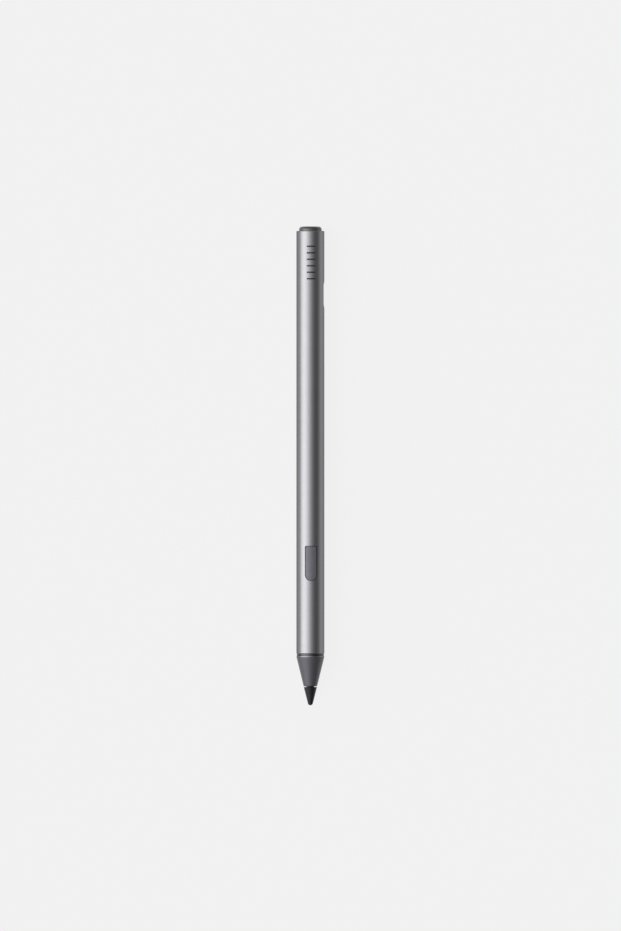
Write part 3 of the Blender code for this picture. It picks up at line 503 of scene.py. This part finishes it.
def circuit_board(name):
    """Green solder mask over copper tracks, which show as a paler relief."""
    made = Surface(name, (0.008, 0.11, 0.045), 0.35)
    bricks = made.nodes.new("ShaderNodeTexBrick")
    bricks.inputs["Scale"].default_value = 1.0 / TRACK_PITCH
    bricks.inputs["Mortar Size"].default_value = TRACK_WIDTH
    bricks.inputs["Mortar Smooth"].default_value = TRACK_SOFTNESS
    bricks.offset = TRACK_SHIFT
    bricks.squash = TRACK_SQUASH
    made.links.new(made.place, bricks.inputs["Vector"])
    tracks = made.remap(bricks.outputs["Fac"], 0.0, 1.0, 0.0, 1.0)
    colour = made.mix(tracks, (0.006, 0.085, 0.035), (0.02, 0.2, 0.075))
    made.links.new(colour, made.shader.inputs["Base Color"])
    made.uneven(0.3 * MM, 0.06).bumped(tracks, TRACK_HEIGHT)
    return made.material


def flex_film(name):
    """Amber film over fine copper lines that run along the cable."""
    made = Surface(name, (0.45, 0.2, 0.03), 0.3)
    wave = made.nodes.new("ShaderNodeTexWave")
    wave.bands_direction = "Y"
    wave.inputs["Scale"].default_value = 1.0 / FLEX_UNIT
    wave.inputs["Distortion"].default_value = 0.0
    made.links.new(made.place, wave.inputs["Vector"])
    lines = made.remap(wave.outputs["Fac"], 0.0, 1.0, 0.45, 0.6)
    colour = made.mix(lines, (0.3, 0.11, 0.012), (0.62, 0.3, 0.06))
    made.links.new(colour, made.shader.inputs["Base Color"])
    made.uneven(0.4 * MM, 0.08).bumped(lines, FLEX_HEIGHT)
    return made.material


def foam(name):
    """Open-celled foam."""
    made = Surface(name, (0.05, 0.05, 0.055), 0.95)
    cells = made.nodes.new("ShaderNodeTexVoronoi")
    cells.inputs["Scale"].default_value = 1.0 / FOAM_CELL
    made.links.new(made.place, cells.inputs["Vector"])
    # Darker in the pits of the cells, where the relief is lowest: painted shade.
    colour = made.mix(cells.outputs["Distance"], (0.02, 0.02, 0.022), (0.09, 0.09, 0.095))
    made.links.new(colour, made.shader.inputs["Base Color"])
    made.bumped(cells.outputs["Distance"], FOAM_DEPTH)
    return made.material


def fired_ceramic(name):
    """Pale unglazed ceramic."""
    made = Surface(name, (0.62, 0.6, 0.55), 0.45)
    made.mottled(0.2 * MM, 0.08).uneven(0.2 * MM, 0.08).grained(0.03 * MM, 0.002 * MM)
    return made.material


MATERIALS = {
    "anodised_grey": anodised("barrel_anodised", (0.256, 0.254, 0.268), 0.3),
    "nose_grey": moulded(
        "nose_satin", (0.105, 0.104, 0.118), 0.38, grain=FINE_GRAIN, height=0.0008 * MM, sheen=0.6
    ),
    # The front band is much darker than bare polished metal: painted shade in place of a recess between
    # barrel and nose that is not cut.
    "polished_metal": polished("ring_polished", (0.08, 0.08, 0.085), 0.2),
    "nib_black": moulded(
        "nib_moulded", (0.006, 0.0065, 0.009), 0.42, grain=0.08 * MM, height=0.002 * MM, gloss=0.34
    ),
    "key_grey": moulded(
        "key_satin", (0.14, 0.137, 0.158), 0.42, grain=FINE_GRAIN, height=0.0012 * MM, sheen=0.25
    ),
    "end_grey": moulded(
        "end_satin",
        (0.108, 0.108, 0.111),
        0.24,
        grain=FINE_GRAIN,
        height=0.0008 * MM,
        sheen=0.5,
        gloss=0.35,
    ),
    "steel": metal("bright_steel", (0.55, 0.55, 0.56), 0.28),
    "brass": metal("turned_brass", (0.7, 0.5, 0.2), 0.28, TURNING_LINES),
    "gold_contact": metal("gold_plate", (0.85, 0.6, 0.22), 0.22, LINES_ALONG_Y),
    "copper": metal("copper_sheet", (0.74, 0.36, 0.2), 0.32),
    "black_plastic": moulded("black_moulding", (0.018, 0.018, 0.02), 0.5),
    "natural_plastic": moulded("natural_moulding", (0.5, 0.49, 0.44), 0.5),
    "chip_black": moulded(
        "chip_moulding", (0.012, 0.012, 0.013), 0.55, grain=0.04 * MM, height=0.003 * MM
    ),
    "board_green": circuit_board("solder_mask"),
    "flex_amber": flex_film("flex_film"),
    "battery_can": metal("battery_can", (0.6, 0.6, 0.6), 0.3),
    "battery_blue": moulded(
        "shrink_sleeve", (0.015, 0.075, 0.28), 0.3, grain=0.3 * MM, height=0.004 * MM
    ),
    "foam_grey": foam("foam_pad"),
    "rubber_black": moulded(
        "seal_rubber", (0.012, 0.012, 0.012), 0.65, grain=FINE_GRAIN, height=0.003 * MM
    ),
    "wire_red": moulded("red_insulation", (0.42, 0.012, 0.01), 0.42),
    "wire_black": moulded("black_insulation", (0.012, 0.012, 0.013), 0.42),
    "nickel": metal("nickel_plate", (0.6, 0.58, 0.54), 0.22, LINES_ALONG_Z),
    "ceramic_white": fired_ceramic("fired_ceramic"),
}
# The side key's rounded rim is coloured brighter than its face: a painted highlight along the key's edge.
KEY_EDGE_PAINTED_HIGHLIGHT = moulded(
    "key_edge_painted_highlight", (0.27, 0.268, 0.285), 0.32, grain=FINE_GRAIN, height=0.0006 * MM, sheen=0.8
)
NIB_RING = polished("nib_ring_polished", (0.14, 0.14, 0.145), 0.14)
INK = moulded("mark_ink", (0.01, 0.01, 0.012), 0.5, grain=FINE_GRAIN, height=0.001 * MM)


def clad(piece, slot, body, *nodes, material=None):
    """Gives a piece its slot's material or the one given; it rides on a body in place of CAD nodes."""
    piece.data.materials.clear()
    piece.data.materials.append(material or MATERIALS[slot])
    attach(piece, body)
    if nodes:
        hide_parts(*nodes)
    return piece


# ---------------------------------------------------------------- barrel, nose and rings

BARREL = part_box("barrel")
BARREL_RADIUS = radius_of("barrel")
KEY_X = sum(corner.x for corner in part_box("side_switch")) / 2
PORT_X = sum(corner.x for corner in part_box("usb_shell")) / 2
FACING_UP = Matrix.Translation((KEY_X, 0.0, AXIS_Z))
FACING_PORT = Matrix.Translation((PORT_X, 0.0, AXIS_Z)) @ Matrix.Rotation(math.pi / 2, 4, "X")


def make_barrel():
    """The barrel: a tube with rounded ends, and the slots for the side key and the charging port."""
    front, rear = BARREL[0].x, BARREL[1].x
    radius, edge = BARREL_RADIUS, BARREL_EDGE
    bore = radius - BARREL_WALL
    inside, outside = bore / 2, 2 * radius
    profile = arc((front + edge, radius - edge), edge, 180, 90, 6)
    profile += arc((rear - edge, radius - edge), edge, 90, 0, 6)
    profile += arc((rear - edge, bore + edge), edge, 0, -90, 4)[1:]
    profile.append((front, bore))
    barrel = turned("barrel_tube", profile)
    carve(barrel, prism("key_slot", key_outline(KEY_GAP), inside, outside, FACING_UP))
    slot = stadium(PORT_LENGTH, PORT_WIDTH)
    carve(barrel, prism("port_slot", slot, inside, outside, FACING_PORT))
    soften(barrel, SLOT_EDGE, segments=2, angle=55.0)
    shade(barrel)
    round_normals(barrel, radius)
    return clad(barrel, "anodised_grey", "pen_body", "barrel")


def rod(name, radius):
    """A solid cylinder about the pen's axis, longer than the side key at both ends."""
    front, rear = KEY_X - KEY_LENGTH, KEY_X + KEY_LENGTH
    return turned(name, [(front, 0.0), (front, radius), (rear, radius), (rear, 0.0)])


def make_band(name, node, slot):
    """A ring between nose and barrel, with rounded outer edges."""
    low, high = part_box(node)
    radius, edge = radius_of(node), RING_EDGE
    profile = arc((low.x + edge, radius - edge), edge, 180, 90, 5)
    profile += arc((high.x - edge, radius - edge), edge, 90, 0, 5)
    profile += [(high.x, RING_BORE), (low.x, RING_BORE)]
    return clad(shade(turned(name, profile)), slot, "pen_body", node)


def make_nib_washer():
    """The small polished washer in the nose's mouth, which carries the nose's slope on."""
    low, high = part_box("nib_ring")
    radius = radius_of("nib_ring")
    front_radius = radius - (high.x - low.x) * math.tan(NOSE_SLOPE)
    corner = (low.x + RING_EDGE, front_radius - RING_EDGE)
    profile = arc(corner, RING_EDGE, 180, WASHER_EDGE_END, 5)
    profile += [(high.x, radius), (high.x, MOUTH_RADIUS), (low.x, MOUTH_RADIUS)]
    washer = turned("nib_washer", profile, SMALL_SIDES)
    return clad(shade(washer), "polished_metal", "pen_body", "nib_ring", material=NIB_RING)


def make_nose():
    """The tapered nose: a cone that rounds over into a short cylinder, and the spigot behind it."""
    low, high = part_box("nose_cone")
    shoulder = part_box("trim_ring")[0].x - CONTACT_GAP
    radius = radius_of("nose_cone")
    corner = low.x + (radius - NOSE_FRONT_RADIUS) / math.tan(NOSE_SLOPE)
    centre = (corner + NOSE_ROUND * math.tan(NOSE_SLOPE / 2), radius - NOSE_ROUND)
    profile = [(low.x, NOSE_FRONT_RADIUS)]
    profile += arc(centre, NOSE_ROUND, 90 + math.degrees(NOSE_SLOPE), 90, 16)
    profile += arc((shoulder - NOSE_CHAMFER, radius - NOSE_CHAMFER), NOSE_CHAMFER, 90, 0, 4)
    profile += [(shoulder, SPIGOT_RADIUS), (high.x, SPIGOT_RADIUS), (high.x, SPIGOT_BORE)]
    profile += [(at(CAVITY_END), SPIGOT_BORE), (at(CAVITY_START), CAVITY_FRONT_RADIUS)]
    profile += [(at(CAVITY_START), THROAT), (low.x + MOUTH_DEPTH, THROAT)]
    profile += [(low.x + MOUTH_DEPTH, MOUTH_RADIUS), (low.x, MOUTH_RADIUS)]
    return clad(shade(turned("nose_shell", profile)), "nose_grey", "pen_body", "nose_cone")


def make_nib():
    """The nib: a ball end that runs into a cone, with a neck behind it, bored for its core."""
    low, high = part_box("nib")
    base, bore_end = at(NIB_BASE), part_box("nib_core")[0].x - CONTACT_GAP
    slope = math.degrees(NIB_SLOPE)
    outside = arc((low.x + NIB_TIP, 0.0), NIB_TIP, 180, 90 + slope, 20)
    touch, touch_radius = outside[-1]
    base_radius = touch_radius + (base - touch) * math.tan(NIB_SLOPE)
    profile = [(low.x, 0.0), *outside[1:]]
    profile += arc((base - NIB_EDGE, base_radius - NIB_EDGE), NIB_EDGE, 90 + slope, 0, 5)
    profile += [(base, NIB_NECK), (high.x, NIB_NECK)]
    profile += [(high.x, NIB_BORE), (bore_end, NIB_BORE), (bore_end, 0.0)]
    return clad(shade(turned("nib_cone", profile, SMALL_SIDES)), "nib_black", "nib", "nib")


def make_return_coil():
    """The spring behind the nib holder: a round wire wound on a helix."""
    low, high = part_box("return_spring")
    front, rear = low.x + COIL_WIRE, high.x - COIL_WIRE
    pitch = (rear - front) / COIL_TURNS
    count = int(COIL_TURNS * COIL_STEPS)
    sections = []
    for i in range(count + 1):
        turn = 2 * math.pi * i / COIL_STEPS
        out = Vector((0.0, math.cos(turn), math.sin(turn)))
        along = Vector((pitch / (2 * math.pi), -COIL_RADIUS * out.z, COIL_RADIUS * out.y))
        side = along.normalized().cross(out)
        centre = Vector((front + pitch * i / COIL_STEPS, 0.0, AXIS_Z)) + out * COIL_RADIUS
        wire = arc((0.0, 0.0), COIL_WIRE, 0, 360, WIRE_SIDES)[:-1]
        sections.append([centre + out * a + side * b for a, b in wire])
    shape = bmesh.new()
    loft(shape, sections)
    coil = clad(shade(from_bmesh("return_coil", shape)), "steel", "pen_body", "return_spring")
    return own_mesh(coil)


# ---------------------------------------------------------------- buttons


def make_side_key():
    """The long side key, its crown curved with the barrel, on a flange that keeps it in and a post."""
    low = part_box("side_button")[0]
    crown = BARREL_RADIUS + KEY_PROUD
    bore = BARREL_RADIUS - BARREL_WALL - KEY_UNDER
    key = prism("side_key", key_outline(), FLANGE_BOTTOM + KEY_OVERLAP, 2 * crown, FACING_UP)
    carve(key, rod("key_crown", crown), "INTERSECT")
    key.data.materials.append(MATERIALS["key_grey"])
    key.data.materials.append(KEY_EDGE_PAINTED_HIGHLIGHT)
    # The rounded rim takes the second, brighter material: a painted highlight.
    soften(key, KEY_ROUND, segments=4, material=1)
    flange = prism("key_flange", key_outline(KEY_FLANGE), FLANGE_BOTTOM, crown, FACING_UP)
    carve(flange, rod("key_limit", bore), "INTERSECT")
    carve(key, flange, "UNION")
    post = arc((0.0, 0.0), KEY_POST, 0, 360, POST_SIDES)[:-1]
    top = FLANGE_BOTTOM + KEY_OVERLAP / 2
    carve(key, prism("key_post", post, low.z - AXIS_Z, top, FACING_UP), "UNION")
    shade(key, angle=30.0)
    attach(key, "side_button")
    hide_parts("side_button")
    return key


def make_end_cap():
    """The end button: a cup with a rounded rim, a stem for its switch and a groove for its clip."""
    low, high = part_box("end_button")
    radius, roof, skirt = radius_of("end_button"), high.x - CAP_ROOF, high.x - CAP_SKIRT
    front, rear = (high.x - depth for depth in CAP_GROOVE)
    profile = [(low.x, 0.0), (low.x, CAP_STEM), (roof, CAP_STEM), (roof, CAP_BORE)]
    profile += [(skirt, CAP_BORE), (skirt, radius), (front, radius), (front, CAP_GROOVE_RADIUS)]
    profile += [(rear, CAP_GROOVE_RADIUS), (rear, radius)]
    profile += arc((high.x - CAP_FILLET, radius - CAP_FILLET), CAP_FILLET, 90, 0, 14)
    profile.append((high.x, 0.0))
    return clad(shade(turned("end_cap", profile)), "end_grey", "end_button", "end_button")


# ---------------------------------------------------------------- charging port


def make_shell():
    """The port's metal shell: a tube of slot-shaped section."""
    low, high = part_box("usb_shell")
    length, width = high.x - low.x, high.z - low.z
    mouth, back = -low.y, -high.y
    shell = prism("port_shell", stadium(length, width), back, mouth, FACING_PORT)
    inner = stadium(length - 2 * SHELL_WALL, width - 2 * SHELL_WALL)
    carve(shell, prism("port_hollow", inner, back - OVERRUN, mouth + OVERRUN, FACING_PORT))
    soften(shell, SHELL_EDGE, angle=60.0)
    return clad(shade(shell), "nickel", "pen_body", "usb_shell")


def make_tongue():
    """The moulding in the shell: a root that closes it behind, and the blade that carries the contacts."""
    low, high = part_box("usb_shell")
    inset = 2 * (SHELL_WALL + CONTACT_GAP)
    fit = stadium(high.x - low.x - inset, high.z - low.z - inset)
    root = prism("port_tongue", fit, -high.y, TONGUE_BASE, FACING_PORT)
    half_width, half_thickness = TONGUE_WIDTH / 2, TONGUE_THICKNESS / 2
    blade = box_mesh(
        "port_blade",
        (PORT_X - half_width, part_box("usb_tongue")[0].y, AXIS_Z - half_thickness),
        (PORT_X + half_width, TONGUE_BACK, AXIS_Z + half_thickness),
    )
    soften(blade, TONGUE_EDGE)
    carve(root, blade, "UNION")
    return clad(shade(root), "black_plastic", "pen_body", "usb_tongue")


def make_contacts(node, side):
    """A row of contacts on one face of the tongue: its upper face for side 1, its lower for side -1."""
    pins = []
    start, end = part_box(node)[0].y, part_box(node)[1].y
    low, high = sorted(AXIS_Z + side * height for height in CONTACT_HEIGHTS)
    for i in range(CONTACT_COUNT):
        x = PORT_X + (i - (CONTACT_COUNT - 1) / 2) * CONTACT_PITCH
        corners = ((x - CONTACT_WIDTH / 2, start, low), (x + CONTACT_WIDTH / 2, end, high))
        pins.append(soften(box_mesh(f"pin_{i}", *corners), CONTACT_EDGE, segments=2))
    return clad(shade(join(node.replace("usb", "port"), pins)), "gold_contact", "pen_body", node)


# ---------------------------------------------------------------- mark


def make_mark():
    """Plain bars printed across the barrel on the side button's side, as a generic mark."""
    turn = MARK_REACH / BARREL_RADIUS
    half = MARK_THICKNESS / 2
    bar = ((-half, -MARK_SINK), (-half, MARK_RELIEF), (half, MARK_RELIEF), (half, -MARK_SINK))
    shape = bmesh.new()
    for i in range(MARK_COUNT):
        x = at(MARK_STATION) + (i - (MARK_COUNT - 1) / 2) * MARK_PITCH
        sections = []
        for k in range(MARK_STEPS + 1):
            angle = turn * (2 * k / MARK_STEPS - 1)
            section = []
            for along, rise in bar:
                radius = BARREL_RADIUS + rise
                y, z = radius * math.sin(angle), AXIS_Z + radius * math.cos(angle)
                section.append((x + along, y, z))
            sections.append(section)
        loft(shape, sections)
    return clad(shade(from_bmesh("printed_mark", shape)), "nib_black", "pen_body", material=INK)


# ---------------------------------------------------------------- inner pieces


def finish_cad_nodes():
    """Gives every CAD node that still shows the procedural material of its slot."""
    slots = {entry["node"]: entry["material_slot"] for entry in frame["record"]["subparts"]}
    for name, node in frame["nodes"].items():
        if not node.hide_render:
            node.data.materials.clear()
            node.data.materials.append(MATERIALS[slots[name]])


# ---------------------------------------------------------------- studio


def lobe(nodes, links, direction, angle, width, level):
    """A light that fades as a bell curve from its middle, which is at an angle from straight up towards +Y.
    Angle and width are in degrees."""
    middle = math.radians(angle)
    dot = nodes.new("ShaderNodeVectorMath")
    dot.operation = "DOT_PRODUCT"
    dot.inputs[1].default_value = (0.0, math.sin(middle), math.cos(middle))
    links.new(direction, dot.inputs[0])
    value = dot.outputs["Value"]
    steps = (
        ("ARCCOSINE", None),
        ("DIVIDE", math.radians(width)),
        ("POWER", 2.0),
        ("MULTIPLY", -1.0),
        ("EXPONENT", None),
        ("MULTIPLY", level),
    )
    for operation, number in steps:
        step = nodes.new("ShaderNodeMath")
        step.operation = operation
        links.new(value, step.inputs[0])
        if number is not None:
            step.inputs[1].default_value = number
        value = step.outputs["Value"]
    return value


def make_world():
    """The lights, which the pen reflects, and a plain pale backdrop, which the camera sees."""
    world = bpy.data.worlds.new("studio")
    bpy.context.scene.world = world
    world.use_nodes = True
    nodes, links = world.node_tree.nodes, world.node_tree.links
    nodes.clear()
    place = nodes.new("ShaderNodeTexCoord")
    along = nodes.new("ShaderNodeVectorMath")
    along.operation = "MULTIPLY"
    along.inputs[1].default_value = (LIGHT_NARROWING, 1.0, 1.0)
    links.new(place.outputs["Generated"], along.inputs[0])
    unit = nodes.new("ShaderNodeVectorMath")
    unit.operation = "NORMALIZE"
    links.new(along.outputs["Vector"], unit.inputs[0])
    total = None
    for light in (KEY_LIGHT, RIM_LIGHT):
        value = lobe(nodes, links, unit.outputs["Vector"], **light)
        add = nodes.new("ShaderNodeMath")
        links.new(value, add.inputs[0])
        if total is None:
            add.inputs[1].default_value = FILL_LEVEL
        else:
            links.new(total, add.inputs[1])
        total = add.outputs["Value"]
    lit = nodes.new("ShaderNodeBackground")
    links.new(total, lit.inputs["Strength"])
    lit.inputs["Color"].default_value = (1.0, 1.0, 1.0, 1.0)
    plain = nodes.new("ShaderNodeBackground")
    plain.inputs["Color"].default_value = (PALE, PALE, PALE, 1.0)
    path = nodes.new("ShaderNodeLightPath")
    mix = nodes.new("ShaderNodeMixShader")
    links.new(path.outputs["Is Camera Ray"], mix.inputs["Fac"])
    links.new(lit.outputs["Background"], mix.inputs[1])
    links.new(plain.outputs["Background"], mix.inputs[2])
    out = nodes.new("ShaderNodeOutputWorld")
    links.new(mix.outputs["Shader"], out.inputs["Surface"])


def make_floor():
    """A plain pale surface, faintly lit from within, as a light table is."""
    shape = bmesh.new()
    bmesh.ops.create_grid(shape, x_segments=1, y_segments=1, size=FLOOR_SIZE / 2)
    bmesh.ops.translate(shape, vec=(0.0, 0.0, AXIS_Z - BARREL_RADIUS), verts=shape.verts)
    floor = from_bmesh("floor", shape)
    surface = Surface("pale_floor", (FLOOR_COLOUR,) * 3, FLOOR_ROUGHNESS)
    surface.set("Specular IOR Level", 0.0)
    surface.set("Emission Color", (1.0, 1.0, 1.0, 1.0)).set("Emission Strength", FLOOR_GLOW)
    floor.data.materials.append(surface.material)


def make_camera():
    """A long lens above the pen, with the pen's rear end at the top of the picture."""
    camera = bpy.data.objects.new("camera", bpy.data.cameras.new("camera"))
    bpy.context.scene.collection.objects.link(camera)
    camera.data.lens = LENS
    camera.data.sensor_width = SENSOR
    height = LENGTH / PEN_SHARE
    distance = height * LENS / SENSOR
    back = Vector((0.0, math.sin(CAMERA_ROLL), math.cos(CAMERA_ROLL)))
    up = Vector((1.0, 0.0, 0.0))
    right = up.cross(back)
    place = AIM + Vector((0.0, 0.0, AXIS_Z)) + back * distance
    turn = Matrix((right, up, back)).transposed().to_4x4()
    camera.matrix_world = Matrix.Translation(place) @ turn
    camera.data.clip_start, camera.data.clip_end = CAMERA_REACH
    bpy.context.scene.camera = camera


def main():
    make_barrel()
    make_band("trim_band", "trim_ring", "anodised_grey")
    # Its dark colour is painted shade of a recess between barrel and nose.
    make_band("front_band", "front_ring", "polished_metal")
    make_nib_washer()
    make_nose()
    make_nib()
    make_return_coil()
    make_side_key()
    make_end_cap()
    make_shell()
    make_tongue()
    make_contacts("usb_contacts_upper", 1)
    make_contacts("usb_contacts_lower", -1)
    make_mark()
    finish_cad_nodes()
    make_world()
    make_floor()
    make_camera()
    bpy.context.scene.view_settings.view_transform = "Standard"


main()
